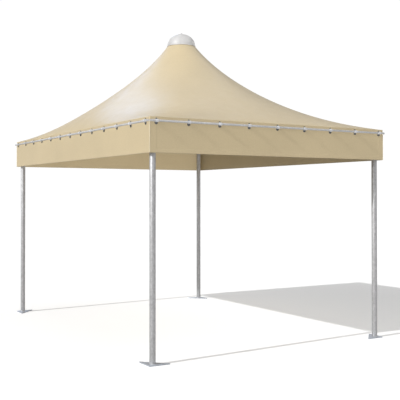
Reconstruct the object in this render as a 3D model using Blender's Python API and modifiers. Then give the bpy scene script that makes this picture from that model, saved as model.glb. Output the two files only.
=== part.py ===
"""Marquee tent: four tube posts on triangular base plates carry a beam frame, crossed braces
and a mast, and a curved fabric roof hangs between the eave and a domed crown ring.

Metres, +Z up. The origin is on the ground under the middle of the roof. X is the short side of
the plan and Y is the long side.
"""
import math

import bmesh
import bpy
import numpy as np
from mathutils import Matrix, Vector

# Plan and heights, over the faces of the valances
WIDTH_X = 3.0
LENGTH_Y = 4.0
CLEAR_HEIGHT = 2.017
VALANCE_HEIGHT = 0.345
EAVE_Z = CLEAR_HEIGHT + VALANCE_HEIGHT
RING_Z = 3.499
RING_RADIUS = 0.178
FABRIC_THICKNESS = 0.004
GAP = 0.0003

# How the stretched roof falls from the ring to the eave
HOOP_PULL = 2.3596
CORNER_FADE = 1.1501
RISE_LEAD = 0.6044
RISE_TURN = 0.0851
ROOF_ROWS = 15
ROW_SPREAD = 1.25
EAVE_STEPS_X = 12
EAVE_STEPS_Y = 16

# Posts and base plates
POST_DIAMETER = 0.0603
POST_INSET = 0.070
PLATE_LEG = 0.220
PLATE_THICKNESS = 0.012
PLATE_CORNER_TO_POST = 0.089
ANCHOR_HOLE = 0.014
ANCHOR_EDGE = 0.024
SHARP_ANCHOR_EDGE = 0.048

# Eave frame
BEAM_WIDTH = 0.040
BEAM_HEIGHT = 0.060
HEAD_PLATE = 0.118
HEAD_THICKNESS = 0.008
SPIGOT_DIAMETER = 0.050
BRACE_DIAMETER = 0.0483
HUB_DIAMETER = 0.140
HUB_HEIGHT = 0.076

# Mast, crown and dome
MAST_DIAMETER = 0.0483
MAST_FOOT_DIAMETER = 0.120
MAST_FOOT_THICKNESS = 0.010
CROWN_HEIGHT = 0.050
CROWN_WALL = 0.016
CROWN_CLEARANCE = 0.0005
CROWN_DISC_THICKNESS = 0.008
DOME_FLANGE_RADIUS = 0.182
DOME_FLANGE_HEIGHT = 0.006
DOME_SKIRT_RADIUS = 0.178
DOME_SKIRT_HEIGHT = 0.010
DOME_RADIUS = 0.175
DOME_RISE = 0.145
DOME_WALL = 0.004
KNOB_RADIUS = 0.014
KNOB_HEIGHT = 0.014

# Keder tubes and saddles that clamp the fabric to the beams
TUBE_DIAMETER = 0.0213
TUBE_Z = 2.322
TUBE_END = 0.006
SADDLE_WIDTH = 0.033
SADDLE_ABOVE_TUBE = 0.022
SADDLE_BELOW_TUBE = 0.036
SADDLE_THICKNESS = 0.003
SADDLES_X = 9
SADDLES_Y = 13
SADDLE_END_X = 0.071
SADDLE_END_Y = 0.077

# Worked out from the sizes above
HALF_X = WIDTH_X / 2
HALF_Y = LENGTH_Y / 2
SEAT_Z = EAVE_Z - FABRIC_THICKNESS - 0.0005
BEAM_OUT = FABRIC_THICKNESS + GAP
BEAM_Z = SEAT_Z - BEAM_HEIGHT / 2
HEAD_TOP = SEAT_Z - BEAM_HEIGHT - GAP
POST_TOP = HEAD_TOP - HEAD_THICKNESS - GAP
POST_X = HALF_X - POST_INSET
POST_Y = HALF_Y - POST_INSET
HUB_TOP = BEAM_Z + HUB_HEIGHT / 2
CROWN_RADIUS = RING_RADIUS - FABRIC_THICKNESS - CROWN_CLEARANCE
CROWN_TOP = RING_Z + 0.002
CROWN_DISC_TOP = CROWN_TOP - CROWN_HEIGHT
TUBE_OUT = GAP + SADDLE_THICKNESS + TUBE_DIAMETER / 2

CORNERS = {
    "front_left": (-1, -1),
    "front_right": (1, -1),
    "back_left": (-1, 1),
    "back_right": (1, 1),
}
SIDES = {
    "front": (Vector((0, -1, 0)), HALF_Y, WIDTH_X, SADDLES_X, SADDLE_END_X),
    "back": (Vector((0, 1, 0)), HALF_Y, WIDTH_X, SADDLES_X, SADDLE_END_X),
    "left": (Vector((-1, 0, 0)), HALF_X, LENGTH_Y, SADDLES_Y, SADDLE_END_Y),
    "right": (Vector((1, 0, 0)), HALF_X, LENGTH_Y, SADDLES_Y, SADDLE_END_Y),
}


def make_material(name, color, roughness, metallic):
    material = bpy.data.materials.new(name)
    material.use_nodes = True
    shader = material.node_tree.nodes["Principled BSDF"]
    shader.inputs["Base Color"].default_value = (*color, 1)
    shader.inputs["Roughness"].default_value = roughness
    shader.inputs["Metallic"].default_value = metallic
    material.diffuse_color = (*color, 1)
    return material


def galvanised_steel(name):
    return make_material(name + "_zinc", (0.42, 0.43, 0.44), 0.45, 0.85)


def beige_fabric(name):
    return make_material(name + "_fabric", (0.68, 0.57, 0.39), 0.55, 0.0)


def opal_plastic(name):
    return make_material(name + "_opal", (0.80, 0.80, 0.79), 0.25, 0.0)


def add_object(name, mesh, material, collection):
    obj = bpy.data.objects.new(name, mesh)
    collection.objects.link(obj)
    mesh.materials.append(material)
    return obj


def shade_round(mesh, angle=35):
    mesh.shade_smooth()
    mesh.set_sharp_from_angle(angle=math.radians(angle))


def box_mesh(name, low, high):
    bm = bmesh.new()
    low, high = Vector(low), Vector(high)
    place = Matrix.Translation((low + high) / 2) @ Matrix.Diagonal((*(high - low), 1))
    bmesh.ops.create_cube(bm, size=1, matrix=place)
    mesh = bpy.data.meshes.new(name)
    bm.to_mesh(mesh)
    bm.free()
    return mesh


def rod_mesh(name, start, end, radius, sides):
    start, end = Vector(start), Vector(end)
    turn = (end - start).to_track_quat("Z", "Y").to_matrix().to_4x4()
    bm = bmesh.new()
    bmesh.ops.create_cone(
        bm, cap_ends=True, segments=sides, radius1=radius, radius2=radius,
        depth=(end - start).length, matrix=Matrix.Translation((start + end) / 2) @ turn)
    mesh = bpy.data.meshes.new(name)
    bm.to_mesh(mesh)
    bm.free()
    shade_round(mesh)
    return mesh


def outline_mesh(name, points, thickness, place):
    """A flat outline in its own XY plane, extruded to a plate and moved by a matrix."""
    curve = bpy.data.curves.new(name, "CURVE")
    curve.dimensions = "2D"
    curve.fill_mode = "BOTH"
    curve.extrude = thickness / 2
    spline = curve.splines.new("POLY")
    spline.points.add(len(points) - 1)
    for point, (x, y) in zip(spline.points, points):
        point.co = (x, y, 0, 1)
    spline.use_cyclic_u = True
    holder = bpy.data.objects.new(name, curve)
    bpy.context.scene.collection.objects.link(holder)
    bpy.context.view_layer.update()
    graph = bpy.context.evaluated_depsgraph_get()
    mesh = bpy.data.meshes.new_from_object(holder.evaluated_get(graph))
    bpy.data.objects.remove(holder)
    bpy.data.curves.remove(curve)
    bm = bmesh.new()
    bm.from_mesh(mesh)
    bmesh.ops.remove_doubles(bm, verts=bm.verts, dist=0.00001)
    bmesh.ops.transform(bm, matrix=place, verts=bm.verts)
    bmesh.ops.recalc_face_normals(bm, faces=bm.faces)
    bm.to_mesh(mesh)
    bm.free()
    return mesh


def turned_object(name, profile, material, collection, steps):
    """A profile of (radius, height) points, from axis to axis, turned about the vertical."""
    bm = bmesh.new()
    ring = [bm.verts.new((radius, 0, height)) for radius, height in profile]
    for start, end in zip(ring, ring[1:]):
        bm.edges.new((start, end))
    mesh = bpy.data.meshes.new(name)
    bm.to_mesh(mesh)
    bm.free()
    obj = add_object(name, mesh, material, collection)
    screw = obj.modifiers.new("turn", "SCREW")
    screw.steps = steps
    screw.render_steps = steps
    screw.use_merge_vertices = True
    screw.merge_threshold = 0.00005
    return obj


def add_cutter(name, mesh, cutters):
    obj = bpy.data.objects.new(name, mesh)
    cutters.objects.link(obj)
    obj.hide_render = True
    obj.display_type = "WIRE"
    return obj


def add_boolean(obj, other, operation):
    boolean = obj.modifiers.new(other.name, "BOOLEAN")
    boolean.object = other
    boolean.operation = operation
    boolean.solver = "EXACT"


def joined_meshes(name, meshes):
    """One mesh that holds several closed bodies which do not touch."""
    bm = bmesh.new()
    for mesh in meshes:
        bm.from_mesh(mesh)
    joined = bpy.data.meshes.new(name)
    bm.to_mesh(joined)
    bm.free()
    return joined


def side_frame(side):
    """A matrix whose Z points out of the side, whose Y is up and whose origin is on the face."""
    normal, distance = SIDES[side][:2]
    up = Vector((0, 0, 1))
    along = up.cross(normal)
    turn = Matrix((along, up, normal)).transposed().to_4x4()
    return Matrix.Translation(normal * distance) @ turn


def base_plates(parts, cutters):
    """Triangles whose right angle points out of the plan, with the post over the inner circle."""
    for corner, (sx, sy) in CORNERS.items():
        offset = PLATE_CORNER_TO_POST / math.sqrt(2)
        tip = Vector((sx * (POST_X + offset), sy * (POST_Y + offset), 0))
        ends = [(tip.x - sx * PLATE_LEG, tip.y), (tip.x, tip.y - sy * PLATE_LEG)]
        name = "base_plate_" + corner
        mesh = outline_mesh(name, [(tip.x, tip.y), *ends], PLATE_THICKNESS,
                            Matrix.Translation((0, 0, PLATE_THICKNESS / 2)))
        plate = add_object(name, mesh, galvanised_steel(name), parts)
        spots = [
            (tip.x - sx * ANCHOR_EDGE, tip.y - sy * ANCHOR_EDGE),
            (ends[0][0] + sx * SHARP_ANCHOR_EDGE, tip.y - sy * ANCHOR_EDGE * 0.75),
            (tip.x - sx * ANCHOR_EDGE * 0.75, ends[1][1] + sy * SHARP_ANCHOR_EDGE),
        ]
        holes = [rod_mesh("hole", (x, y, -0.01), (x, y, PLATE_THICKNESS + 0.01),
                          ANCHOR_HOLE / 2, 16) for x, y in spots]
        drill = add_cutter("anchor_holes_" + corner, joined_meshes("holes", holes), cutters)
        add_boolean(plate, drill, "DIFFERENCE")


def posts(parts):
    for corner, (sx, sy) in CORNERS.items():
        name = "post_" + corner
        low = (sx * POST_X, sy * POST_Y, PLATE_THICKNESS + GAP)
        high = (sx * POST_X, sy * POST_Y, POST_TOP)
        mesh = rod_mesh(name, low, high, POST_DIAMETER / 2, 24)
        add_object(name, mesh, galvanised_steel(name), parts)


def post_heads(parts, cutters):
    """A square plate under the beams, with a round spigot between them for the brace."""
    for corner, (sx, sy) in CORNERS.items():
        name = "post_head_" + corner
        outer = Vector((sx * (HALF_X - BEAM_OUT), sy * (HALF_Y - BEAM_OUT), 0))
        inner = outer - Vector((sx * HEAD_PLATE, sy * HEAD_PLATE, 0))
        low = (min(outer.x, inner.x), min(outer.y, inner.y), HEAD_TOP - HEAD_THICKNESS)
        high = (max(outer.x, inner.x), max(outer.y, inner.y), HEAD_TOP)
        head = add_object(name, box_mesh(name, low, high), galvanised_steel(name), parts)
        center = spigot_center(sx, sy)
        start = (center.x, center.y, HEAD_TOP - HEAD_THICKNESS / 2)
        end = (center.x, center.y, SEAT_Z)
        spigot = rod_mesh("spigot", start, end, SPIGOT_DIAMETER / 2, 24)
        add_boolean(head, add_cutter("spigot_" + corner, spigot, cutters), "UNION")


def spigot_center(sx, sy):
    inset = BEAM_OUT + BEAM_WIDTH + GAP + SPIGOT_DIAMETER / 2
    return Vector((sx * (HALF_X - inset), sy * (HALF_Y - inset), BEAM_Z))


def beams(parts):
    """The long beams run from end to end, and the short ones fit between them."""
    for side, (normal, distance, length, _, _) in SIDES.items():
        name = "beam_" + side
        half = length / 2 - BEAM_OUT
        if side in ("front", "back"):
            half -= BEAM_WIDTH + GAP
        low = (-half, -BEAM_HEIGHT / 2, -BEAM_OUT - BEAM_WIDTH)
        high = (half, BEAM_HEIGHT / 2, -BEAM_OUT)
        mesh = box_mesh(name, low, high)
        mesh.transform(Matrix.Translation((0, 0, BEAM_Z)) @ side_frame(side))
        add_object(name, mesh, galvanised_steel(name), parts)


def braces(parts, cutters):
    """Four tubes from the spigots to the hub, coped to both."""
    hub_mesh = rod_mesh("hub_clearance", (0, 0, BEAM_Z - HUB_HEIGHT), (0, 0, BEAM_Z + HUB_HEIGHT),
                        HUB_DIAMETER / 2 + GAP, 32)
    hub_clearance = add_cutter("hub_clearance", hub_mesh, cutters)
    for corner, (sx, sy) in CORNERS.items():
        name = "brace_" + corner
        end = spigot_center(sx, sy)
        start = end.normalized() * 0.02
        start.z = BEAM_Z
        mesh = rod_mesh(name, start, end, BRACE_DIAMETER / 2, 16)
        brace = add_object(name, mesh, galvanised_steel(name), parts)
        add_boolean(brace, hub_clearance, "DIFFERENCE")
        cope = rod_mesh("cope", (end.x, end.y, BEAM_Z - 0.1), (end.x, end.y, BEAM_Z + 0.1),
                        SPIGOT_DIAMETER / 2 + GAP, 24)
        add_boolean(brace, add_cutter("cope_" + corner, cope, cutters), "DIFFERENCE")


def hub(parts):
    mesh = rod_mesh("hub", (0, 0, BEAM_Z - HUB_HEIGHT / 2), (0, 0, HUB_TOP),
                    HUB_DIAMETER / 2, 32)
    add_object("hub", mesh, galvanised_steel("hub"), parts)


def mast(parts):
    foot = HUB_TOP + GAP
    top = CROWN_DISC_TOP - CROWN_DISC_THICKNESS - GAP
    foot_top = foot + MAST_FOOT_THICKNESS
    profile = [
        (0, top),
        (MAST_DIAMETER / 2, top),
        (MAST_DIAMETER / 2, foot_top),
        (MAST_FOOT_DIAMETER / 2, foot_top),
        (MAST_FOOT_DIAMETER / 2, foot),
        (0, foot),
    ]
    turned_object("mast", profile, galvanised_steel("mast"), parts, 24)


def crown(parts):
    """A dish on the mast: the fabric is clamped round its rim, under the dome."""
    low = CROWN_DISC_TOP - CROWN_DISC_THICKNESS
    profile = [
        (0, CROWN_DISC_TOP),
        (CROWN_RADIUS - CROWN_WALL, CROWN_DISC_TOP),
        (CROWN_RADIUS - CROWN_WALL, CROWN_TOP),
        (CROWN_RADIUS, CROWN_TOP),
        (CROWN_RADIUS, low),
        (0, low),
    ]
    turned_object("crown_ring", profile, galvanised_steel("crown_ring"), parts, 40)


def dome(parts):
    base = CROWN_TOP + GAP
    ledge = base + DOME_FLANGE_HEIGHT
    spring = ledge + DOME_SKIRT_HEIGHT
    steps = 7
    quarter = [math.pi / 2 * (steps - step) / steps for step in range(steps + 1)]
    outer = [(DOME_RADIUS * math.cos(a), spring + DOME_RISE * math.sin(a)) for a in quarter]
    outer[0] = (0, spring + DOME_RISE)
    rim = [(DOME_SKIRT_RADIUS, ledge), (DOME_FLANGE_RADIUS, ledge), (DOME_FLANGE_RADIUS, base)]
    hollow, rise = DOME_RADIUS - DOME_WALL, DOME_RISE - DOME_WALL
    inner = [(hollow * math.cos(a), spring + rise * math.sin(a)) for a in reversed(quarter)]
    inner[-1] = (0, spring + rise)
    profile = [*outer, *rim, (hollow, base), *inner]
    turned_object("dome", profile, opal_plastic("dome"), parts, 40)
    top = spring + DOME_RISE
    knob = [
        (0, top + GAP + KNOB_HEIGHT),
        (KNOB_RADIUS * 0.6, top + GAP + KNOB_HEIGHT),
        (KNOB_RADIUS, top + GAP + KNOB_HEIGHT * 0.6),
        (KNOB_RADIUS, top + GAP),
        (0, top + GAP),
    ]
    turned_object("dome_knob", knob, opal_plastic("dome_knob"), parts, 16)


def eave_point(angle):
    """The point of the eave rectangle in the direction of an angle, as a complex number."""
    reach = min(HALF_X / max(abs(math.cos(angle)), 1e-9), HALF_Y / max(abs(math.sin(angle)), 1e-9))
    return complex(reach * math.cos(angle), reach * math.sin(angle))


def eave_waves(samples=512):
    """The eave rectangle as a sum of waves, each with its order and size."""
    around = [eave_point(2 * math.pi * index / samples) for index in range(samples)]
    sizes = np.fft.fft(around) / samples
    orders = np.fft.fftfreq(samples, 1 / samples).astype(int)
    return [(order, size) for order, size in zip(orders, sizes) if abs(size) > 1e-6]


def fade(order, height):
    """How much of a wave of the lower edge is left at a height from 0 to 1."""
    pull = HOOP_PULL * abs(order) ** CORNER_FADE
    return math.exp(-pull * height) * (1 - math.exp(-2 * pull * (1 - height))) \
        / (1 - math.exp(-2 * pull))


def roof_point(angle, height, waves):
    turn = complex(math.cos(angle), math.sin(angle))
    flat = eave_point(angle) if height == 0 else sum(
        size * fade(order, height) * turn ** int(order) for order, size in waves)
    flat += RING_RADIUS * turn * fade(1, 1 - height)
    rise = height + height * (1 - height) * (RISE_LEAD + RISE_TURN * (1 - 2 * height))
    return Vector((flat.real, flat.imag, EAVE_Z + (RING_Z - EAVE_Z) * rise))


def side_angles(side):
    """Directions of evenly spaced points along one side of the eave, from corner to corner."""
    normal = SIDES[side][0]
    facing_y = side in ("front", "back")
    steps = EAVE_STEPS_X if facing_y else EAVE_STEPS_Y
    near, far = (HALF_Y, HALF_X) if facing_y else (HALF_X, HALF_Y)
    middle = math.atan2(normal.y, normal.x)
    return [middle + math.atan2(far * (2 * step / steps - 1), near) for step in range(steps + 1)]


def roof_column(angle, waves):
    """Points up one line of the roof: its outer face, its inner face and the seam's direction."""
    outer, inner, across = [], [], []
    for row in range(ROOF_ROWS + 1):
        height = (row / ROOF_ROWS) ** ROW_SPREAD
        below, above = max(height - 0.005, 0), min(height + 0.005, 1)
        climb = roof_point(angle, above, waves) - roof_point(angle, below, waves)
        level = Vector((climb.x, climb.y, 0))
        inward = level.normalized()
        outward = (Vector((0, 0, level.length)) - inward * climb.z).normalized()
        point = roof_point(angle, height, waves)
        outer.append(point)
        inner.append(point - outward * FABRIC_THICKNESS)
        across.append(Vector((0, 0, 1)).cross(inward))
    return outer, inner, across


def roof_panels(parts):
    """Four lofts between the straight eave and the round ring, which meet along the hips.

    Each loop of points goes up the outer face and down the inner one, and both faces are split
    along the same diagonals, so that the fabric keeps its thickness where it twists.
    """
    waves = eave_waves()
    for side in SIDES:
        name = "roof_panel_" + side
        columns = [roof_column(angle, waves) for angle in side_angles(side)]
        bm = bmesh.new()
        faces_out, faces_in = [], []
        for index, (outer, inner, across) in enumerate(columns):
            seam = {0: -GAP / 2, len(columns) - 1: GAP / 2}.get(index, 0)
            faces_out.append([bm.verts.new(p + a * seam) for p, a in zip(outer, across)])
            faces_in.append([bm.verts.new(p + a * seam) for p, a in zip(inner, across)])
        loops = [out + list(reversed(back)) for out, back in zip(faces_out, faces_in)]
        for near, far in zip(loops, loops[1:]):
            for index in range(len(near)):
                following = (index + 1) % len(near)
                corners = [near[index], far[index], far[following], near[following]]
                if index > ROOF_ROWS:
                    corners.append(corners.pop(0))
                bm.faces.new(corners[:3])
                bm.faces.new((corners[0], corners[2], corners[3]))
        for out, back in ((faces_out[0], faces_in[0]), (faces_out[-1], faces_in[-1])):
            for row in range(ROOF_ROWS):
                bm.faces.new((out[row], out[row + 1], back[row + 1], back[row]))
        bmesh.ops.recalc_face_normals(bm, faces=bm.faces)
        mesh = bpy.data.meshes.new(name)
        bm.to_mesh(mesh)
        bm.free()
        shade_round(mesh, 60)
        add_object(name, mesh, beige_fabric(name), parts)


def valances(parts):
    """The left and right panels reach the corners, and the front and back ones fit between."""
    for side, (normal, distance, length, _, _) in SIDES.items():
        name = "valance_" + side
        half = length / 2
        if side in ("front", "back"):
            half -= FABRIC_THICKNESS + GAP
        mesh = box_mesh(name, (-half, CLEAR_HEIGHT, -FABRIC_THICKNESS), (half, SEAT_Z, 0))
        mesh.transform(side_frame(side))
        add_object(name, mesh, beige_fabric(name), parts)


def saddle_outline():
    """The strap in section: a foot plate, longer below, with a round bulge over the tube."""
    radius = TUBE_DIAMETER / 2 + SADDLE_THICKNESS
    center = TUBE_OUT - GAP
    low, high = -SADDLE_BELOW_TUBE, SADDLE_ABOVE_TUBE
    start = math.asin((center - SADDLE_THICKNESS) / radius)
    arc = [start + math.pi - (math.pi + 2 * start) * step / 10 for step in range(11)]
    bulge = [(-radius * math.cos(angle), center + radius * math.sin(angle)) for angle in arc]
    return [(low, 0), (high, 0), (high, SADDLE_THICKNESS), *bulge, (low, SADDLE_THICKNESS)]


def keder_tubes(parts, cutters):
    """One tube along each side, with its row of saddles."""
    for side, (normal, distance, length, count, end) in SIDES.items():
        name = "keder_tube_" + side
        frame = side_frame(side)
        half = length / 2 - TUBE_END
        tube = rod_mesh(name, (-half, TUBE_Z, TUBE_OUT), (half, TUBE_Z, TUBE_OUT),
                        TUBE_DIAMETER / 2, 16)
        tube.transform(frame)
        tube_object = add_object(name, tube, galvanised_steel(name), parts)
        stand = Matrix(((0, 0, 1, 0), (1, 0, 0, 0), (0, 1, 0, 0), (0, 0, 0, 1)))
        spacing = (length - 2 * end) / (count - 1)
        saddles = []
        for index in range(count):
            along = -length / 2 + end + spacing * index
            place = frame @ Matrix.Translation((along, TUBE_Z, GAP)) @ stand
            saddles.append(outline_mesh("saddle", saddle_outline(), SADDLE_WIDTH, place))
        row = add_cutter("saddles_" + side, joined_meshes("saddles", saddles), cutters)
        add_boolean(tube_object, row, "UNION")


def main():
    for obj in list(bpy.data.objects):
        bpy.data.objects.remove(obj, do_unlink=True)
    parts = bpy.data.collections.new("marquee_tent")
    cutters = bpy.data.collections.new("cutters")
    bpy.context.scene.collection.children.link(parts)
    bpy.context.scene.collection.children.link(cutters)
    base_plates(parts, cutters)
    posts(parts)
    post_heads(parts, cutters)
    beams(parts)
    hub(parts)
    braces(parts, cutters)
    mast(parts)
    crown(parts)
    dome(parts)
    roof_panels(parts)
    valances(parts)
    keder_tubes(parts, cutters)


main()
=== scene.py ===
"""Marquee tent: the stretched cover, clamped tubes, posts, frame and dome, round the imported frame."""

import math

import bmesh
import bpy
import numpy as np
from bpy.props import FloatProperty, FloatVectorProperty, IntProperty, PointerProperty
from bpy.types import Operator, Panel, PropertyGroup
from mathutils import Matrix, Vector


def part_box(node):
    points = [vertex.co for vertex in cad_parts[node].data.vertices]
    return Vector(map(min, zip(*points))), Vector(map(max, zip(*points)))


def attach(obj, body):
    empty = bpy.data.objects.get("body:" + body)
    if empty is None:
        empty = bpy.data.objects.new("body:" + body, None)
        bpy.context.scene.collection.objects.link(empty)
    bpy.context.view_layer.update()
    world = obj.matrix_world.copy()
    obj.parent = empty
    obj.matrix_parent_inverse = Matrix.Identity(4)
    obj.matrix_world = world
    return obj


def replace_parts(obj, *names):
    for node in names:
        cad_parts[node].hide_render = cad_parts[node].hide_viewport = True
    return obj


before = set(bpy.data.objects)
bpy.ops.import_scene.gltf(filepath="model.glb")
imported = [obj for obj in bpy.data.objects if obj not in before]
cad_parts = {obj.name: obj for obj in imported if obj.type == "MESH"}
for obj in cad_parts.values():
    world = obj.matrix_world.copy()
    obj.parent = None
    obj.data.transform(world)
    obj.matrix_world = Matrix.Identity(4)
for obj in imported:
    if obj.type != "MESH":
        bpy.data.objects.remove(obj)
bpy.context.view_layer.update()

bl_info = {
    "name": "Marquee Tent",
    "version": (1, 0, 0),
    "blender": (4, 5, 0),
    "location": "View3D > Sidebar > Marquee",
    "description": "Builds the cover, tubes, posts, frame and dome of a marquee tent",
    "category": "Add Mesh",
}

CORNERS = {
    "front_left": (-1, -1),
    "front_right": (1, -1),
    "back_left": (-1, 1),
    "back_right": (1, 1),
}
SIDES = {
    "front": Vector((0, -1, 0)),
    "right": Vector((1, 0, 0)),
    "back": Vector((0, 1, 0)),
    "left": Vector((-1, 0, 0)),
}
UP = Vector((0, 0, 1))
# The clearance between steel pieces that meet
GAP = 0.0003
EDGE_ROUNDING = 0.0012
SPIGOT_RADIUS = 0.025


def length_property(name, description, default):
    return FloatProperty(name=name, description=description, default=default,
                         subtype="DISTANCE", unit="LENGTH", precision=4)


def color_property(name, description, default):
    return FloatVectorProperty(name=name, description=description, default=default,
                               subtype="COLOR", size=3, min=0, max=1)


def factor_property(name, description, default):
    return FloatProperty(name=name, description=description, default=default,
                         subtype="FACTOR", min=0, max=1)


def strength_property(name, description, default):
    return FloatProperty(name=name, description=description, default=default, min=0)


class CoverSettings(PropertyGroup):
    width: length_property("Width", "Short side over the faces of the valances", 3.0)
    length: length_property("Length", "Long side over the faces of the valances", 4.0)
    clear_height: length_property("Clear height", "Ground to the hem", 2.017)
    valance: length_property("Valance", "Hem to the eave", 0.345)
    ring_height: length_property("Ring height", "Ground to the ring under the dome", 3.5005)
    ring_radius: length_property("Ring radius", "Radius of the roof at the ring", 0.178)
    corner_radius: length_property("Corner radius", "Rounding of the upright corners", 0.010)
    cloth: length_property("Cloth", "Thickness of the coated cloth", 0.0010)
    hem: length_property("Hem", "Height of the folded and welded hem", 0.033)
    band: length_property("Corner band", "Width of the welded band beside a corner", 0.075)
    lap: length_property("Lap", "How far a welded lap stands out", 0.0009)
    pucker: length_property("Pucker", "Depth of the folds below the saddles", 0.0009)
    piping: length_property("Piping", "Thickness of the cord down each upright corner", 0.008)
    color: color_property("Color", "Color of the coated cloth", (0.538, 0.440, 0.274))
    roughness: factor_property("Roughness", "Roughness of the coating", 0.32)


class SteelSettings(PropertyGroup):
    post: length_property("Post diameter", "Tube of the posts", 0.0603)
    brace: length_property("Brace diameter", "Tube of the braces and the mast", 0.0483)
    side_tube: length_property("Side tube diameter", "Tube that holds the cloth to the beams", 0.0213)
    tube_height: length_property("Side tube height", "Ground to the middle of the tube", 2.322)
    tube_end: length_property("Side tube end", "Corner to the end of the tube", -0.002)
    saddle_width: length_property("Saddle width", "Width of a saddle's foot", 0.036)
    tip_width: length_property("Tip width", "Width of a foot's upper tip", 0.019)
    strap_width: length_property("Strap width", "Width of a saddle's strap", 0.030)
    strap_thickness: length_property("Strap thickness", "Thickness of a saddle's strap", 0.0042)
    saddle_above: length_property("Saddle above", "Middle of the tube to the top of a foot", 0.028)
    saddle_below: length_property("Saddle below", "Middle of the tube to the end of a foot", 0.036)
    saddle_thickness: length_property("Saddle thickness", "Thickness of a saddle", 0.003)
    saddles_short: IntProperty(name="Saddles on a short side", description="Saddles in a row",
                               default=9, min=2)
    saddles_long: IntProperty(name="Saddles on a long side", description="Saddles in a row",
                              default=13, min=2)
    first_short: length_property("First on a short side", "Corner to the first saddle", 0.071)
    first_long: length_property("First on a long side", "Corner to the first saddle", 0.077)
    color: color_property("Color", "Color of the zinc", (0.47, 0.47, 0.475))


class DomeSettings(PropertyGroup):
    radius: length_property("Radius", "Radius of the dome above its skirt", 0.175)
    rise: length_property("Rise", "Height of the dome above its skirt", 0.145)
    skirt_radius: length_property("Skirt radius", "Radius of the skirt on the flange", 0.178)
    skirt: length_property("Skirt", "Height of the skirt", 0.010)
    wall: length_property("Wall", "Thickness of the shell", 0.004)
    color: color_property("Color", "Color of the milky shell", (0.70, 0.695, 0.69))


class StageSettings(PropertyGroup):
    lens: FloatProperty(name="Focal length", description="On a 36 mm wide sensor",
                        default=68.353, unit="CAMERA")
    sun: strength_property("Sun", "Sharp light from the left", 2.82)
    side: strength_property("Side", "Wide light from the left", 0.88)
    fill: strength_property("Fill", "Light from the front that throws no shadow", 1.36)
    top: strength_property("Top", "Wide light from above and in front, without shadow or gloss", 0.98)
    shine: strength_property("Shine", "Light from behind that only shows as gloss", 0.13)
    haze: strength_property("Haze", "Very wide light from above that only shows as gloss", 0.78)
    sky: strength_property("Sky", "Even light on matt surfaces", 0.1)
    mirror: strength_property("Mirror", "Even light that shows as gloss", 0.46)
    glow: strength_property("Glow", "Light of the floor itself, for the eye alone", 0.24)


def add_node(tree, kind, **values):
    """A node whose properties and input values are given by name, with _ for a space."""
    node = tree.nodes.new(kind)
    for name, value in values.items():
        socket = node.inputs.get(name.replace("_", " "))
        if socket is None:
            setattr(node, name, value)
        else:
            socket.default_value = value
    return node


def start_material(name, color, **values):
    """A material, its tree and its shader, with input values given by name, with _ for a space."""
    material = bpy.data.materials.new(name)
    material.use_nodes = True
    tree = material.node_tree
    shader = tree.nodes["Principled BSDF"]
    shader.inputs["Base Color"].default_value = (*color, 1)
    for socket, value in values.items():
        shader.inputs[socket.replace("_", " ")].default_value = value
    material.diffuse_color = (*color, 1)
    return material, tree, shader


def object_place(tree, stretch=(1, 1, 1)):
    """Object coordinates, stretched by a factor along each axis."""
    place = add_node(tree, "ShaderNodeTexCoord")
    mapping = add_node(tree, "ShaderNodeMapping", Scale=stretch)
    tree.links.new(place.outputs["Object"], mapping.inputs["Vector"])
    return mapping.outputs["Vector"]


def noise(tree, place, scale, detail=3.0, roughness=0.5):
    """Soft clouds, as many to the metre as the scale says."""
    node = add_node(tree, "ShaderNodeTexNoise", Scale=scale, Detail=detail, Roughness=roughness)
    tree.links.new(place, node.inputs["Vector"])
    return node.outputs["Fac"]


def remap(tree, value, low, high, from_low=0.3, from_high=0.7):
    """A value moved to the range from low to high, out of the range that noise mostly fills."""
    node = add_node(tree, "ShaderNodeMapRange", From_Min=from_low, From_Max=from_high,
                    To_Min=low, To_Max=high)
    tree.links.new(value, node.inputs["Value"])
    return node.outputs["Result"]


def multiply(tree, first, second):
    """The product of two values."""
    node = add_node(tree, "ShaderNodeMath", operation="MULTIPLY")
    tree.links.new(first, node.inputs[0])
    tree.links.new(second, node.inputs[1])
    return node.outputs["Value"]


def shade(tree, color, value):
    """A color made lighter or darker by a value round 1."""
    node = add_node(tree, "ShaderNodeVectorMath", operation="SCALE")
    node.inputs[0].default_value = color
    tree.links.new(value, node.inputs["Scale"])
    return node.outputs["Vector"]


def bump(tree, shader, height, strength, distance):
    """Fine relief on a material, with the distance in metres."""
    node = add_node(tree, "ShaderNodeBump", Strength=strength, Distance=distance)
    tree.links.new(height, node.inputs["Height"])
    tree.links.new(node.outputs["Normal"], shader.inputs["Normal"])


def zinc(name, color, metallic=0.5, rough=(0.38, 0.52), clouds=14.0, stretch=(1, 1, 0.45)):
    """Hot-dip galvanised steel: fern-like crystals of some 12 mm under soft grey clouds."""
    material, tree, shader = start_material(name, color, Metallic=metallic)
    place = object_place(tree)
    crystals = add_node(tree, "ShaderNodeTexVoronoi", Scale=85.0)
    tree.links.new(place, crystals.inputs["Vector"])
    grey = add_node(tree, "ShaderNodeRGBToBW")
    tree.links.new(crystals.outputs["Color"], grey.inputs["Color"])
    cloud = remap(tree, noise(tree, object_place(tree, stretch), clouds, 4.0, 0.6), 0.86, 1.14)
    grain = remap(tree, grey.outputs["Val"], 0.90, 1.10, 0, 1)
    tone = multiply(tree, cloud, grain)
    tree.links.new(shade(tree, color, tone), shader.inputs["Base Color"])
    tree.links.new(remap(tree, grey.outputs["Val"], *rough, 0, 1), shader.inputs["Roughness"])
    bump(tree, shader, noise(tree, place, 160.0, 2.0), 0.25, 0.0006)
    return material


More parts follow.
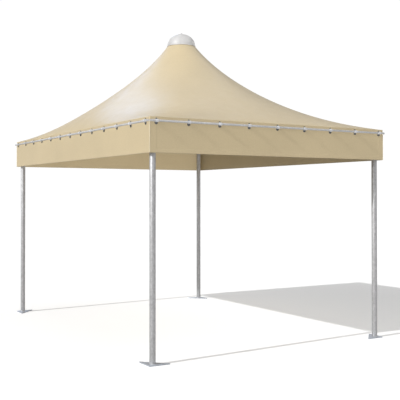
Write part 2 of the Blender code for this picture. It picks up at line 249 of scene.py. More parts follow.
def painted_shade_steel(name):
    """Steel of the saddles' feet and bolts, painted dark to stand in for the shade under the tube and
    strap.
    """
    material, tree, shader = start_material(name, (0.12, 0.12, 0.12), Metallic=0.3)
    place = object_place(tree)
    tree.links.new(remap(tree, noise(tree, place, 300.0), 0.42, 0.62), shader.inputs["Roughness"])
    bump(tree, shader, noise(tree, place, 900.0), 0.2, 0.0003)
    return material


def coated_cloth(settings):
    """Woven polyester under a satin coating: threads 2 mm apart, faint clouds and painted shade along
    the hem's fold.
    """
    material, tree, shader = start_material("beige_coated_cloth", settings.color)
    uv = add_node(tree, "ShaderNodeUVMap", uv_map="threads")
    threads = []
    for direction in ("X", "Y"):
        waves = add_node(tree, "ShaderNodeTexWave", Scale=160.0, bands_direction=direction,
                         Distortion=0.4)
        tree.links.new(uv.outputs["UV"], waves.inputs["Vector"])
        threads.append(waves.outputs["Fac"])
    weave = multiply(tree, *threads)
    place = object_place(tree)
    cloud = remap(tree, noise(tree, place, 1.6, 3.0), 0.965, 1.035)
    fleck = remap(tree, noise(tree, place, 60.0, 3.0), 0.97, 1.03)
    height = add_node(tree, "ShaderNodeSeparateXYZ")
    tree.links.new(place, height.inputs[0])
    fold = settings.clear_height
    # Painted shade: the lowest few millimetres of the hem are darkened where its folded edge turns under
    painted_fold_shade = remap(tree, height.outputs["Z"], 0.72, 1, fold + 0.002, fold + 0.006)
    tone = multiply(tree, multiply(tree, cloud, fleck), painted_fold_shade)
    tree.links.new(shade(tree, settings.color, tone), shader.inputs["Base Color"])
    low, high = settings.roughness - 0.03, settings.roughness + 0.05
    tree.links.new(remap(tree, noise(tree, place, 9.0), low, high), shader.inputs["Roughness"])
    bump(tree, shader, weave, 0.12, 0.0004)
    return material


def opal_shell(settings):
    """Milky plastic that lets some light through."""
    material, tree, shader = start_material("opal_shell", settings.color, IOR=1.49,
                                            Transmission_Weight=0.35)
    place = object_place(tree)
    tree.links.new(remap(tree, noise(tree, place, 14.0), 0.38, 0.48), shader.inputs["Roughness"])
    tone = remap(tree, noise(tree, place, 22.0), 0.98, 1.02)
    tree.links.new(shade(tree, settings.color, tone), shader.inputs["Base Color"])
    return material


def pale_floor(glow):
    """A matt floor that is paler to the eye than in what it throws back."""
    material, tree, shader = start_material("pale_floor", (0.95, 0.95, 0.95), Roughness=1.0,
                                            Specular_IOR_Level=0.0)
    shader.inputs["Emission Color"].default_value = (1, 1, 1, 1)
    thrown_back, to_the_eye = 0.56, 0.88
    seen = add_node(tree, "ShaderNodeLightPath").outputs["Is Camera Ray"]
    clouds = remap(tree, noise(tree, object_place(tree), 0.7), 0.995, 1.005)
    tone = multiply(tree, remap(tree, seen, thrown_back, to_the_eye, 0, 1), clouds)
    tree.links.new(shade(tree, (1, 1, 1), tone), shader.inputs["Base Color"])
    tree.links.new(remap(tree, seen, 0, glow, 0, 1), shader.inputs["Emission Strength"])
    return material


def add_piece(name, bm, material, angle=35):
    """A finished piece, with its place in its mesh, that rides on the tent's one body."""
    mesh = bpy.data.meshes.new(name)
    bm.to_mesh(mesh)
    bm.free()
    mesh.materials.append(material)
    mesh.shade_smooth()
    mesh.set_sharp_from_angle(angle=math.radians(angle))
    obj = bpy.data.objects.new(name, mesh)
    bpy.context.scene.collection.objects.link(obj)
    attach(obj, "root")
    return obj


def bevel(bm, edges, width):
    """Rounds edges in two steps."""
    bmesh.ops.bevel(bm, geom=edges, offset=width, offset_type="OFFSET", segments=2,
                    profile=0.5, affect="EDGES", material=-1, clamp_overlap=True)


def sharp_edges(bm, faces=None, degrees=50):
    """Edges between faces that meet at more than an angle."""
    edges = bm.edges if faces is None else {edge for face in faces for edge in face.edges}
    return [edge for edge in edges
            if len(edge.link_faces) == 2 and edge.calc_face_angle(0) > math.radians(degrees)]


def add_box(bm, low, high, round_by):
    """A box between two corners, with its edges rounded."""
    low, high = Vector(low), Vector(high)
    place = Matrix.Translation((low + high) / 2) @ Matrix.Diagonal((*(high - low), 1))
    verts = bmesh.ops.create_cube(bm, size=1, matrix=place)["verts"]
    bevel(bm, list({edge for vert in verts for edge in vert.link_edges}), round_by)


def add_rod(bm, start, end, radius, segments, chamfer=0.0):
    """A round rod between two points, with the edges of its ends rounded where asked."""
    start, end = Vector(start), Vector(end)
    turn = (end - start).to_track_quat("Z", "Y").to_matrix().to_4x4()
    made = bmesh.ops.create_cone(
        bm, cap_ends=True, segments=segments, radius1=radius, radius2=radius,
        depth=(end - start).length, matrix=Matrix.Translation((start + end) / 2) @ turn)
    if chamfer:
        faces = {face for vert in made["verts"] for face in vert.link_faces}
        bevel(bm, sharp_edges(bm, faces), chamfer)


def add_turned(bm, profile, steps=64, center=(0, 0, 0)):
    """A closed solid from a profile of (radius, height) points turned about the vertical."""
    center = Vector(center)
    before = set(bm.verts)
    ring = [bm.verts.new(center + Vector((radius, 0, height))) for radius, height in profile]
    edges = [bm.edges.new(pair) for pair in zip(ring, ring[1:])]
    if profile[0][0] > 0:
        edges.append(bm.edges.new((ring[-1], ring[0])))
    bmesh.ops.spin(bm, geom=ring + edges, cent=center, axis=UP, dvec=(0, 0, 0),
                   angle=2 * math.pi, steps=steps, use_merge=True, use_duplicate=False)
    made = [vert for vert in bm.verts if vert not in before]
    bmesh.ops.remove_doubles(bm, verts=made, dist=0.00002)
    made = [vert for vert in bm.verts if vert not in before]
    faces = list({face for vert in made for face in vert.link_faces})
    bmesh.ops.recalc_face_normals(bm, faces=faces)
    return made


def add_copy(bm, mesh, place):
    """Adds a mesh to a bmesh at a place."""
    before = set(bm.verts)
    bm.from_mesh(mesh)
    bmesh.ops.transform(bm, matrix=place, verts=[vert for vert in bm.verts if vert not in before])


def make_stencil(name, build):
    """A mesh that is copied many times and then not needed any more."""
    bm = bmesh.new()
    build(bm)
    mesh = bpy.data.meshes.new(name)
    bm.to_mesh(mesh)
    bm.free()
    return mesh


def hex_bolt(bm, across, height, washer, washer_height):
    """A bolt head on its washer, which stand on the XY plane."""
    add_rod(bm, (0, 0, 0), UP * washer_height, washer / 2, 20)
    chamfer = across * 0.06
    add_rod(bm, UP * washer_height, UP * (washer_height + height), across / math.sqrt(3), 6, chamfer)


def weld_bead(bm, center, radius, size, waves=36):
    """A rippled fillet weld round a tube that stands on a plate."""
    root, depth = radius - 0.001, 0.12
    profile = [(root, 0), (radius + size, 0), (radius + size * 0.55, size * 0.5),
               (radius, size), (root, size)]
    for vert in add_turned(bm, profile, waves * 4, center):
        away = vert.co - center
        out = math.hypot(away.x, away.y) - radius
        if out > size * 0.3:
            wave = math.cos(waves * math.atan2(away.y, away.x))
            ripple = 1 + depth * wave * out / (radius + out)
            vert.co.x, vert.co.y = center.x + away.x * ripple, center.y + away.y * ripple


def outer_corner(low, high, corner):
    """The place in the plan where a box is farthest from the middle of the tent."""
    sx, sy = CORNERS[corner]
    return Vector((high.x if sx > 0 else low.x, high.y if sy > 0 else low.y, 0))


def spigot_center(corner):
    """The middle, in the plan, of the spigot that stands between two beams on a post head."""
    sx, sy = CORNERS[corner]
    low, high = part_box("post_head_" + corner)
    beam_low, beam_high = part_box("beam_right")
    inset = beam_high.x - beam_low.x + GAP + SPIGOT_RADIUS
    return outer_corner(low, high, corner) - Vector((sx * inset, sy * inset, 0))


def side_frame(side, reach):
    """A matrix whose Z points out of a side, whose Y is up and whose origin is on the face."""
    normal = SIDES[side]
    turn = Matrix((UP.cross(normal), UP, normal)).transposed().to_4x4()
    return Matrix.Translation(normal * reach) @ turn


def is_short(side):
    """The front and the back are the short sides."""
    return side in ("front", "back")


def side_sizes(side):
    """(the middle of the tent to the side's face, the side's length)."""
    cover = bpy.context.scene.marquee_cover
    if is_short(side):
        return cover.length / 2, cover.width
    return cover.width / 2, cover.length


def saddle_places(side):
    """How far along the side each saddle sits."""
    steel = bpy.context.scene.marquee_steel
    length = side_sizes(side)[1]
    count = steel.saddles_short if is_short(side) else steel.saddles_long
    first = steel.first_short if is_short(side) else steel.first_long
    spacing = (length - 2 * first) / (count - 1)
    return [-length / 2 + first + spacing * index for index in range(count)]


class StretchedRoof:
    """The roof between the straight eave and the round ring, as a place for every direction
    round the tent and every height from 0 at the eave to 1 at the ring.

    The pull and the fade say how soon the hoops turn round, the lead and the turn how steeply
    the slope starts and ends, and the swell how full the cloth is beside the eave."""

    hoop_pull = 2.3596
    corner_fade = 1.1501
    rise_lead = 0.6044
    rise_turn = 0.0851
    swell = 0.009
    swell_reach = 0.06
    samples = 512

    def __init__(self, cover):
        self.half = Vector((cover.width / 2, cover.length / 2))
        self.eave = cover.clear_height + cover.valance
        self.ring = cover.ring_height
        self.ring_radius = cover.ring_radius
        around = [self.eave_point(2 * math.pi * i / self.samples) for i in range(self.samples)]
        self.sizes = np.fft.fft(around) / self.samples
        self.orders = np.fft.fftfreq(self.samples, 1 / self.samples)
        self.pulls = np.maximum(self.hoop_pull * np.abs(self.orders) ** self.corner_fade, 1e-9)

    def eave_point(self, angle):
        """The point of the eave rectangle in a direction, as a complex number."""
        reach = min(self.half.x / max(abs(math.cos(angle)), 1e-9),
                    self.half.y / max(abs(math.sin(angle)), 1e-9))
        return complex(reach * math.cos(angle), reach * math.sin(angle))

    def fade(self, pull, height):
        """What is left at a height of a form that is whole at the eave and gone at the ring."""
        return np.exp(-pull * height) * (1 - np.exp(-2 * pull * (1 - height))) \
            / (1 - np.exp(-2 * pull))

    def point(self, angle, height):
        """The place on the roof in a direction, at a share of the way up."""
        turn = complex(math.cos(angle), math.sin(angle))
        if height == 0:
            flat = self.eave_point(angle)
        else:
            flat = np.sum(self.sizes * self.fade(self.pulls, height) * turn ** self.orders)
        flat += self.ring_radius * turn * self.fade(self.hoop_pull, 1 - height)
        rise = height + height * (1 - height) * (self.rise_lead + self.rise_turn * (1 - 2 * height))
        swell = self.swell * (1 - height)
        for gap in (self.half.x - abs(flat.real), self.half.y - abs(flat.imag)):
            swell *= 1 - math.exp(-max(gap, 0) / self.swell_reach)
        return Vector((flat.real, flat.imag, self.eave + (self.ring - self.eave) * rise + swell))


def cover_columns(cover):
    """Places round the plan, corner by corner: (point, outward normal, side, along the side)."""
    turns, spread, hold, step = 8, 0.0005, 0.003, 0.042
    columns = []
    for side, normal in SIDES.items():
        reach, length = side_sizes(side)
        across = UP.cross(normal)
        straight = length / 2 - cover.corner_radius
        count = round(2 * straight / step)
        stops = [straight * (2 * index / count - 1) for index in range(count + 1)]
        seams = [sign * (length / 2 - cover.band) + shift
                 for sign in (-1, 1) for shift in (-hold, -spread, spread, hold)]
        seams += [hold - straight, straight - hold]
        for along in sorted(stops + seams):
            columns.append((normal * reach + across * along, normal, side, along))
        middle = normal * (reach - cover.corner_radius) + across * straight
        for index in range(1, turns):
            angle = math.pi / 2 * index / turns
            out = normal * math.cos(angle) + across * math.sin(angle)
            columns.append((middle + out * cover.corner_radius, out, side, length / 2))
    return columns


def cover_rows(cover):
    """Heights from the hem to the fold, and then shares of the way from the eave to the ring."""
    edge, hold, above = 0.0006, 0.003, 0.012
    hem = [0, hold, cover.hem / 2, cover.hem - hold, cover.hem - edge, cover.hem + edge,
           cover.hem + hold, cover.hem + above]
    walls = [cover.clear_height + height for height in hem]
    top = cover.clear_height + cover.valance - 0.004
    steps = 11
    walls += [walls[-1] + (top - walls[-1]) * step / steps for step in range(1, steps + 1)]
    climbs = [0, 0.0009, 0.0028, 0.006]
    start, rows, crowding = climbs[-1], 72, 1.25
    climbs += [start + (1 - start) * (row / rows) ** crowding for row in range(1, rows + 1)]
    return walls, climbs


def wall_offset(cover, side, along, height, spacing):
    """How far the outer face of a valance stands out at a place: laps, and folds by the saddles."""
    band = side_sizes(side)[1] / 2 - abs(along) <= cover.band
    hem = height <= cover.clear_height + cover.hem
    out = cover.lap * max(band, hem)
    below = bpy.context.scene.marquee_steel.tube_height - height
    if below > 0 and not band:
        first, step = spacing
        fold = (1 - math.cos(2 * math.pi * (along - first) / step)) / 2
        fold_length = 0.07
        out -= cover.pucker * fold * math.exp(-below / fold_length)
    return out


def thread_uv(bm, wall_rows):
    """Threads run upright and level on the valances, and straight in the plan on the roof."""
    layer = bm.loops.layers.uv.new("threads")
    row_layer = bm.verts.layers.int["row"]
    for face in bm.faces:
        wall = max(vert[row_layer] for vert in face.verts) <= wall_rows
        normal = face.normal
        for loop in face.loops:
            x, y, z = loop.vert.co
            if not wall:
                loop[layer].uv = (x, y)
            elif abs(normal.y) > abs(normal.x):
                loop[layer].uv = (x, z)
            else:
                loop[layer].uv = (y, z)


def build_cover(cover):
    """The roof, its fold over the beams and the four valances as one sheet."""
    roof = StretchedRoof(cover)
    columns = cover_columns(cover)
    walls, climbs = cover_rows(cover)
    spacings = {}
    for side in SIDES:
        places = saddle_places(side)
        spacings[side] = (places[0], places[1] - places[0])
    clear, fold_drop, fold_ease = 0.0001, 0.0006, 90
    inset = cover.lap + clear
    count, rows = len(columns), len(walls) + len(climbs)
    bm = bmesh.new()
    row_layer = bm.verts.layers.int.new("row")
    bmesh.ops.create_grid(bm, x_segments=count, y_segments=rows - 1, size=0.5)
    for vert in bm.verts:
        column = round((vert.co.x + 0.5) * count) % count
        row = round((vert.co.y + 0.5) * (rows - 1))
        vert[row_layer] = row
        point, normal, side, along = columns[column]
        if row < len(walls):
            out = wall_offset(cover, side, along, walls[row], spacings[side]) - inset
            vert.co = point + normal * out + UP * walls[row]
            continue
        climb = climbs[row - len(walls)]
        angle = math.atan2(point.y, point.x)
        place = roof.point(angle, climb)
        sharp = roof.eave_point(angle)
        ease = math.exp(-climb * fold_ease)
        place += (point - Vector((sharp.real, sharp.imag, 0)) - normal * inset) * ease
        place.z -= fold_drop * ease
        vert.co = place
    bmesh.ops.remove_doubles(bm, verts=bm.verts, dist=0.00001)
    bmesh.ops.recalc_face_normals(bm, faces=bm.faces)
    thread_uv(bm, len(walls) - 1)
    area = sum(face.calc_area() for face in bm.faces)
    piece = add_piece("marquee_cover", bm, coated_cloth(cover), 60)
    wall = piece.modifiers.new("cloth_thickness", "SOLIDIFY")
    wall.thickness = cover.cloth
    wall.offset = -1
    wall.use_even_offset = False
    return piece, area


def build_piping(cover):
    """A cord welded into each upright corner of the valances."""
    bm = bmesh.new()
    inset = cover.corner_radius * (1 - math.sqrt(0.5))
    low, high = cover.clear_height + 0.001, bpy.context.scene.marquee_steel.tube_height
    for sx, sy in CORNERS.values():
        spot = Vector((sx * (cover.width / 2 - inset), sy * (cover.length / 2 - inset), 0))
        add_rod(bm, spot + UP * low, spot + UP * high, cover.piping / 2, 20, EDGE_ROUNDING)
    color = (0.62, 0.54, 0.38)
    material, tree, shader = start_material("piping_cloth", color, Roughness=0.5)
    tone = remap(tree, noise(tree, object_place(tree), 40.0), 0.96, 1.04)
    tree.links.new(shade(tree, color, tone), shader.inputs["Base Color"])
    return add_piece("corner_piping", bm, material)


class MARQUEE_OT_cover(Operator):
    """Stretch the roof and the four valances as one sheet"""

    bl_idname = "marquee.cover"
    bl_label = "Stretched Cover"

    def execute(self, context):
        cover = context.scene.marquee_cover
        piece, area = build_cover(cover)
        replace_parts(piece, *("roof_panel_" + side for side in SIDES),
                    *("valance_" + side for side in SIDES))
        piping = build_piping(cover)
        return {"FINISHED"}


class MARQUEE_OT_side_tubes(Operator):
    """Add the open-ended tube along each side"""

    bl_idname = "marquee.side_tubes"
    bl_label = "Side Tubes"

    def execute(self, context):
        steel = context.scene.marquee_steel
        material = zinc("side_tube_zinc", (0.46, 0.46, 0.465), metallic=0.0, rough=(0.45, 0.60),
                        clouds=20.0, stretch=(1, 1, 1))
        radius, wall, rounding = steel.side_tube / 2, 0.0026, 0.0006
        out = GAP + steel.saddle_thickness + radius
        for side in SIDES:
            reach, length = side_sizes(side)
            half = length / 2 - steel.tube_end
            bm = bmesh.new()
            bore = [(radius - wall, -half), (radius, -half), (radius, half), (radius - wall, half)]
            add_turned(bm, bore, 32)
            bevel(bm, sharp_edges(bm), rounding)
            lay = Matrix.Rotation(math.pi / 2, 4, "Y")
            place = side_frame(side, reach) @ Matrix.Translation((0, steel.tube_height, out)) @ lay
            bmesh.ops.transform(bm, matrix=place, verts=bm.verts)
            tube = add_piece("side_tube_" + side, bm, material)
            # No hard line of shadow on the valance below
            tube.visible_shadow = False
            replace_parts(tube, "keder_tube_" + side)
        return {"FINISHED"}


def build_saddle_foot(bm):
    """A foot that is broad and round below the tube, in the frame of a side."""
    steel = bpy.context.scene.marquee_steel
    half, neck = steel.saddle_width / 2, steel.tip_width / 2
    low, high = half - steel.saddle_below, steel.saddle_above - neck
    low_steps, high_steps, rounding = 14, 10, 0.0007
    outline = [(half, low, math.pi * (1 + step / low_steps)) for step in range(low_steps + 1)]
    outline += [(neck, high, math.pi * step / high_steps) for step in range(high_steps + 1)]
    base = bm.faces.new([bm.verts.new((radius * math.cos(a), up + radius * math.sin(a), GAP))
                         for radius, up, a in outline])
    raised = bmesh.ops.extrude_face_region(bm, geom=[base])["geom"]
    bmesh.ops.translate(bm, vec=(0, 0, steel.saddle_thickness),
                        verts=[item for item in raised if isinstance(item, bmesh.types.BMVert)])
    bmesh.ops.recalc_face_normals(bm, faces=bm.faces)
    bevel(bm, sharp_edges(bm), rounding)


def build_strap(bm):
    """A strap bent over the tube, whose ends meet the foot, in the frame of a side."""
    steel = bpy.context.scene.marquee_steel
    half, radius = steel.strap_width / 2, steel.side_tube / 2
    center = Vector((0, 0, GAP + steel.saddle_thickness + radius))
    inner, outer = radius + GAP / 2, radius + steel.strap_thickness
    corners = [bm.verts.new(center + Vector((x, -reach, 0)))
               for x, reach in ((-half, inner), (half, inner), (half, outer), (-half, outer))]
    section = bm.faces.new(corners)
    lead, rounding = math.radians(48), 0.0006
    bmesh.ops.rotate(bm, cent=center, matrix=Matrix.Rotation(lead, 3, "X"), verts=corners)
    bmesh.ops.spin(bm, geom=[section], cent=center, axis=(1, 0, 0), dvec=(0, 0, 0),
                   angle=-(math.pi + 2 * lead), steps=20, use_merge=False, use_duplicate=False)
    bmesh.ops.holes_fill(bm, edges=[edge for edge in bm.edges if edge.is_boundary], sides=4)
    bmesh.ops.recalc_face_normals(bm, faces=bm.faces)
    bevel(bm, sharp_edges(bm), rounding)


class MARQUEE_OT_saddles(Operator):
    """Add the rows of saddles with their bolts"""

    bl_idname = "marquee.saddles"
    bl_label = "Saddles"

    def execute(self, context):
        steel = context.scene.marquee_steel
        foot = make_stencil("foot", build_saddle_foot)
        strap = make_stencil("strap", build_strap)
        bolt = make_stencil("saddle_bolt", lambda bm: hex_bolt(
            bm, across=0.010, height=0.0045, washer=0.0145, washer_height=0.0012))
        strap_zinc = zinc("strap_zinc", (0.60, 0.61, 0.64), metallic=0.1, rough=(0.35, 0.50),
                          clouds=30.0, stretch=(1, 1, 1))
        # The feet and bolts are painted dark: painted shade under the tube and the strap
        feet_painted_shade = painted_shade_steel("feet_painted_shade")
        bolt_rise = 0.0108
        drop = Matrix.Translation((0, bolt_rise - steel.saddle_below, GAP + steel.saddle_thickness))
        for side in SIDES:
            straps, feet = bmesh.new(), bmesh.new()
            base = side_frame(side, side_sizes(side)[0])
            for along in saddle_places(side):
                place = base @ Matrix.Translation((along, steel.tube_height, 0))
                add_copy(straps, strap, place)
                add_copy(feet, foot, place)
                add_copy(feet, bolt, place @ drop)
            add_piece("saddle_straps_" + side, straps, strap_zinc)
            add_piece("saddle_feet_" + side, feet, feet_painted_shade)
        for mesh in (foot, strap, bolt):
            bpy.data.meshes.remove(mesh)
        return {"FINISHED"}


class MARQUEE_OT_posts(Operator):
    """Add the four posts with the welds at their feet"""

    bl_idname = "marquee.posts"
    bl_label = "Posts"

    def execute(self, context):
        steel = context.scene.marquee_steel
        material = zinc("post_zinc", steel.color, clouds=38.0, stretch=(1, 1, 0.7))
        radius, chamfer, bead = steel.post / 2, 0.001, 0.0035
        for corner in CORNERS:
            low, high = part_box("post_" + corner)
            middle = (low + high) / 2
            foot = Vector((middle.x, middle.y, low.z))
            bm = bmesh.new()
            add_rod(bm, foot, (middle.x, middle.y, high.z), radius, 64, chamfer)
            weld_bead(bm, foot, radius, bead)
            post = add_piece("post_tube_" + corner, bm, material)
            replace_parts(post, "post_" + corner)
        return {"FINISHED"}


def drilled_plate(bm, outline, holes, radius, low, high, round_by):
    """A flat plate with round holes, whose outer edges are rounded."""
    corners = [bm.verts.new((x, y, low)) for x, y in outline]
    edges = [bm.edges.new(pair) for pair in zip(corners, corners[1:] + corners[:1])]
    for x, y in holes:
        ring = bmesh.ops.create_circle(bm, cap_ends=False, segments=24, radius=radius,
                                       matrix=Matrix.Translation((x, y, low)))["verts"]
        edges += list({edge for vert in ring for edge in vert.link_edges})
    filled = bmesh.ops.triangle_fill(bm, use_beauty=True, use_dissolve=False, edges=edges)["geom"]
    faces = [item for item in filled if isinstance(item, bmesh.types.BMFace)]
    raised = bmesh.ops.extrude_face_region(bm, geom=faces)["geom"]
    bmesh.ops.translate(bm, vec=(0, 0, high - low),
                        verts=[item for item in raised if isinstance(item, bmesh.types.BMVert)])
    bmesh.ops.recalc_face_normals(bm, faces=bm.faces)
    bevel(bm, sharp_edges(bm), round_by)


class MARQUEE_OT_base_plates(Operator):
    """Add the triangular base plates with their anchor holes"""

    bl_idname = "marquee.base_plates"
    bl_label = "Base Plates"

    def execute(self, context):
        material = zinc("plate_zinc", (0.47, 0.50, 0.55), clouds=26.0, stretch=(1, 1, 1))
        radius, edge, sharp_edge = 0.007, 0.024, 0.048
        for corner, (sx, sy) in CORNERS.items():
            low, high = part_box("base_plate_" + corner)
            tip = outer_corner(low, high, corner)
            leg = high.x - low.x
            outline = [(tip.x, tip.y), (tip.x - sx * leg, tip.y), (tip.x, tip.y - sy * leg)]
            holes = [(tip.x - sx * edge, tip.y - sy * edge),
                     (tip.x - sx * (leg - sharp_edge), tip.y - sy * edge * 0.75),
                     (tip.x - sx * edge * 0.75, tip.y - sy * (leg - sharp_edge))]
            bm = bmesh.new()
            drilled_plate(bm, outline, holes, radius, low.z, high.z, EDGE_ROUNDING)
            plate = add_piece("foot_plate_" + corner, bm, material)
            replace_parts(plate, "base_plate_" + corner)
        return {"FINISHED"}


class MARQUEE_OT_eave_frame(Operator):
    """Add the beams behind the cloth and the post heads that carry them"""

    bl_idname = "marquee.eave_frame"
    bl_label = "Eave Frame"

    def execute(self, context):
        steel = context.scene.marquee_steel
        material = zinc("frame_zinc", steel.color, clouds=12.0, stretch=(1, 1, 1))
        beam_rounding, plate, root, chamfer, bead = 0.004, 0.008, 0.001, 0.0015, 0.004
        bolt_near, bolt_far = 0.020, 0.104
        for side in SIDES:
            bm = bmesh.new()
            add_box(bm, *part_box("beam_" + side), round_by=beam_rounding)
            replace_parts(add_piece("box_beam_" + side, bm, material), "beam_" + side)
        bolt = make_stencil("head_bolt", lambda bm: hex_bolt(
            bm, across=0.017, height=0.0064, washer=0.021, washer_height=0.0018))
        for corner, (sx, sy) in CORNERS.items():
            low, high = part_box("post_head_" + corner)
            outer, center = outer_corner(low, high, corner), spigot_center(corner)
            plate_top = center + UP * (low.z + plate)
            bm = bmesh.new()
            add_box(bm, low, (high.x, high.y, plate_top.z), round_by=EDGE_ROUNDING)
            add_rod(bm, plate_top - UP * root, center + UP * high.z, SPIGOT_RADIUS, 48, chamfer)
            weld_bead(bm, plate_top, SPIGOT_RADIUS, bead, waves=30)
            for x, y in ((bolt_near, bolt_far), (bolt_far, bolt_near)):
                spot = outer - Vector((sx * x, sy * y, -low.z))
                add_copy(bm, bolt, Matrix.Translation(spot) @ Matrix.Rotation(math.pi, 4, "X"))
            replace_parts(add_piece("head_" + corner, bm, material), "post_head_" + corner)
        bpy.data.meshes.remove(bolt)
        return {"FINISHED"}


class MARQUEE_OT_braces(Operator):
    """Add the crossed braces and their hub"""

    bl_idname = "marquee.braces"
    bl_label = "Braces"

    def execute(self, context):
        steel = context.scene.marquee_steel
        material = zinc("brace_zinc", steel.color, clouds=12.0, stretch=(1, 1, 1))
        hub_low, hub_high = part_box("hub")
        height = (hub_low.z + hub_high.z) / 2
        hub_radius = (hub_high.x - hub_low.x) / 2
        into_hub, into_spigot, chamfer = 0.004, 0.003, 0.003
        for corner in CORNERS:
            reach = spigot_center(corner)
            way = reach.normalized()
            start = way * (hub_radius - into_hub) + UP * height
            end = reach - way * (SPIGOT_RADIUS - into_spigot) + UP * height
            bm = bmesh.new()
            add_rod(bm, start, end, steel.brace / 2, 40)
            brace = add_piece("brace_tube_" + corner, bm, material)
            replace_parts(brace, "brace_" + corner)
        bm = bmesh.new()
        add_turned(bm, [
            (0, hub_low.z), (hub_radius - chamfer, hub_low.z), (hub_radius, hub_low.z + chamfer),
            (hub_radius, hub_high.z - chamfer), (hub_radius - chamfer, hub_high.z), (0, hub_high.z)], 64)
        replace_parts(add_piece("brace_hub", bm, material), "hub")
        return {"FINISHED"}


class MARQUEE_OT_mast(Operator):
    """Add the mast and the crown ring that it carries"""

    bl_idname = "marquee.mast"
    bl_label = "Mast and Crown"

    def execute(self, context):
        steel = context.scene.marquee_steel
        material = zinc("mast_zinc", steel.color, clouds=12.0)
        low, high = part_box("mast")
        foot, tube, edge, weld = (high.x - low.x) / 2, steel.brace / 2, 0.001, 0.005
        foot_top, hollow = low.z + 0.010, weld * 0.4
        bm = bmesh.new()
        add_turned(bm, [
            (0, low.z), (foot - edge, low.z), (foot, low.z + edge), (foot, foot_top - edge),
            (foot - edge, foot_top), (tube + weld, foot_top), (tube + hollow, foot_top + hollow),
            (tube, foot_top + weld), (tube, high.z), (0, high.z)], 64)
        bolt = make_stencil("mast_bolt", lambda bm: hex_bolt(
            bm, across=0.013, height=0.0055, washer=0.018, washer_height=0.0016))
        bolt_circle = foot * 0.74
        spot = Matrix.Translation((bolt_circle, 0, foot_top))
        for index in range(4):
            turn = Matrix.Rotation(math.pi / 4 + math.pi / 2 * index, 4, "Z")
            add_copy(bm, bolt, turn @ spot)
        bpy.data.meshes.remove(bolt)
        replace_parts(add_piece("crown_mast", bm, material), "mast")
        low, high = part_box("crown_ring")
        outer, disc, fillet = (high.x - low.x) / 2, 0.008, 0.004
        inner = outer - 0.016
        bm = bmesh.new()
        add_turned(bm, [
            (0, low.z), (outer - edge, low.z), (outer, low.z + edge), (outer, high.z - edge),
            (outer - edge, high.z), (inner + edge, high.z), (inner, high.z - edge),
            (inner, low.z + disc + fillet), (inner - fillet, low.z + disc), (0, low.z + disc)], 96)
        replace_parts(add_piece("crown_dish", bm, material), "crown_ring")
        return {"FINISHED"}


class MARQUEE_OT_dome(Operator):
    """Add the milky dome and its knob"""

    bl_idname = "marquee.dome"
    bl_label = "Dome"

    def execute(self, context):
        dome = context.scene.marquee_dome
        material = opal_shell(dome)
        low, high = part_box("dome")
        flange = (high.x - low.x) / 2
        spring = high.z - dome.rise
        ledge = spring - dome.skirt
        steps = 24
        quarter = [math.pi / 2 * step / steps for step in range(steps + 1)]
        outer = [(dome.radius * math.cos(a), spring + dome.rise * math.sin(a)) for a in quarter]
        hollow, rise = dome.radius - dome.wall, dome.rise - dome.wall
        inner = [(hollow * math.cos(a), spring + rise * math.sin(a)) for a in reversed(quarter)]
        outer[-1], inner[0] = (0, spring + dome.rise), (0, spring + rise)
        edge = 0.0012
        rim = [(hollow, low.z), (flange - edge, low.z), (flange, low.z + edge), (flange, ledge - edge),
               (flange - edge, ledge), (dome.skirt_radius, ledge), (dome.radius + edge, spring - edge)]
        bm = bmesh.new()
        add_turned(bm, [*inner, *rim, *outer], 96)
        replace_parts(add_piece("dome_shell", bm, material), "dome")
        low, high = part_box("dome_knob")
        radius, brim, steps = (high.x - low.x) / 2, 0.003, 8
        profile = [(0, low.z), (radius * 0.8, low.z), (radius, low.z + brim / 2)]
        for step in range(steps):
            angle = math.pi / 2 * step / steps
            crown = (high.z - low.z - brim) * math.sin(angle)
            profile.append((radius * math.cos(angle), low.z + brim + crown))
        bm = bmesh.new()
        add_turned(bm, [*profile, (0, high.z)], 32)
        button = add_piece("dome_button", bm, zinc("button_zinc", (0.5, 0.5, 0.5)))
        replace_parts(button, "dome_knob")
        return {"FINISHED"}


def add_light(name, direction, strength, angle, color=(1, 1, 1)):
    """A distant lamp that shines in a direction; a wide angle makes its shadows soft."""
    lamp = bpy.data.lights.new(name, "SUN")
    lamp.energy = strength
    lamp.angle = math.radians(angle)
    lamp.color = color
    obj = bpy.data.objects.new(name, lamp)
    obj.rotation_euler = Vector(direction).to_track_quat("-Z", "Y").to_euler()
    bpy.context.scene.collection.objects.link(obj)
    return obj


def add_camera(stage):
    """At eye height in front of the front left corner, turned towards the tent."""
    yaw, pitch = 0.5249, 0.0104
    camera = bpy.data.objects.new("camera", bpy.data.cameras.new("camera"))
    camera.data.sensor_width = 36
    camera.data.lens = stage.lens
    camera.data.shift_x = 0.0445
    camera.data.shift_y = -0.0286
    camera.data.clip_end = 500
    camera.location = (-4.8144, -8.338, 1.6036)
    level = math.cos(pitch)
    forward = Vector((math.sin(yaw) * level, math.cos(yaw) * level, math.sin(pitch)))
    camera.rotation_euler = forward.to_track_quat("-Z", "Y").to_euler()
    bpy.context.scene.collection.objects.link(camera)
    bpy.context.scene.camera = camera


def add_world(stage):
    """Even light, under a background that stays white to the eye."""
    world = bpy.data.worlds.new("studio")
    world.use_nodes = True
    tree = world.node_tree
    path = add_node(tree, "ShaderNodeLightPath")
    level = add_node(tree, "ShaderNodeMath", operation="MULTIPLY_ADD")
    white = 1.02
    level.inputs[1].default_value = white - stage.sky
    even = remap(tree, path.outputs["Is Glossy Ray"], stage.sky, stage.mirror, 0, 1)
    tree.links.new(path.outputs["Is Camera Ray"], level.inputs[0])
    tree.links.new(even, level.inputs[2])
    background = tree.nodes["Background"]
    tree.links.new(level.outputs["Value"], background.inputs["Strength"])
    background.inputs["Color"].default_value = (1, 1, 1, 1)
    bpy.context.scene.world = world


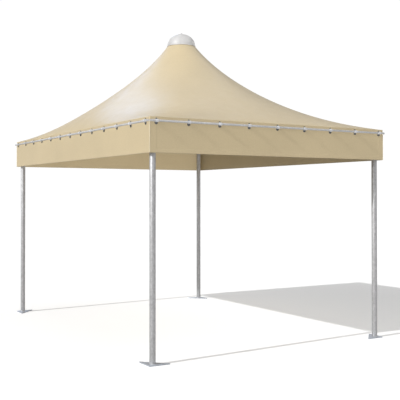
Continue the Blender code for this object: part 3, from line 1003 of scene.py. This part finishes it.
class MARQUEE_OT_stage(Operator):
    """Add the pale floor, the studio light and the camera"""

    bl_idname = "marquee.stage"
    bl_label = "Stage"

    def execute(self, context):
        stage = context.scene.marquee_stage
        bm = bmesh.new()
        half_width = 90
        bmesh.ops.create_grid(bm, x_segments=4, y_segments=4, size=half_width)
        mesh = bpy.data.meshes.new("floor")
        bm.to_mesh(mesh)
        bm.free()
        mesh.materials.append(pale_floor(stage.glow))
        floor = bpy.data.objects.new("floor", mesh)
        context.scene.collection.objects.link(floor)
        add_light("sun", (0.839, 0.069, -0.539), stage.sun, 0.8)
        add_light("side", (0.93, 0.1, -0.3), stage.side, 50)
        fill = add_light("fill", (-0.1, 0.93, 0.35), stage.fill, 10)
        fill.data.use_shadow = False
        fill.visible_glossy = False
        top = add_light("top", (-0.3, 0.4, -0.86), stage.top, 60)
        top.data.use_shadow = False
        top.visible_glossy = False
        shine = add_light("shine", (-0.224, -0.823, -0.522), stage.shine, 15, (0.41, 0.60, 0.97))
        haze = add_light("haze", (-0.15, -0.25, -0.95), stage.haze, 80)
        for lamp in (shine, haze):
            lamp.visible_diffuse = False
        add_world(stage)
        add_camera(stage)
        context.scene.view_settings.view_transform = "Standard"
        return {"FINISHED"}


BUILDERS = (
    MARQUEE_OT_cover,
    MARQUEE_OT_side_tubes,
    MARQUEE_OT_saddles,
    MARQUEE_OT_posts,
    MARQUEE_OT_base_plates,
    MARQUEE_OT_eave_frame,
    MARQUEE_OT_braces,
    MARQUEE_OT_mast,
    MARQUEE_OT_dome,
    MARQUEE_OT_stage,
)


class MARQUEE_PT_panel(Panel):
    """Lists the tent's pieces and their sizes"""

    bl_label = "Marquee Tent"
    bl_idname = "MARQUEE_PT_panel"
    bl_space_type = "VIEW_3D"
    bl_region_type = "UI"
    bl_category = "Marquee"

    def draw(self, context):
        for builder in BUILDERS:
            self.layout.operator(builder.bl_idname)
        for settings in (context.scene.marquee_cover, context.scene.marquee_steel,
                         context.scene.marquee_dome, context.scene.marquee_stage):
            box = self.layout.box()
            for name in settings.bl_rna.properties.keys():
                if name not in ("rna_type", "name"):
                    box.prop(settings, name)


SETTINGS = {
    "marquee_cover": CoverSettings,
    "marquee_steel": SteelSettings,
    "marquee_dome": DomeSettings,
    "marquee_stage": StageSettings,
}


def register():
    for name, group in SETTINGS.items():
        bpy.utils.register_class(group)
        setattr(bpy.types.Scene, name, PointerProperty(type=group))
    for builder in (*BUILDERS, MARQUEE_PT_panel):
        bpy.utils.register_class(builder)


def unregister():
    for builder in reversed((*BUILDERS, MARQUEE_PT_panel)):
        bpy.utils.unregister_class(builder)
    for name, group in SETTINGS.items():
        delattr(bpy.types.Scene, name)
        bpy.utils.unregister_class(group)


def main():
    register()
    for builder in BUILDERS:
        group, name = builder.bl_idname.split(".")
        getattr(getattr(bpy.ops, group), name)()


if __name__ == "__main__":
    main()
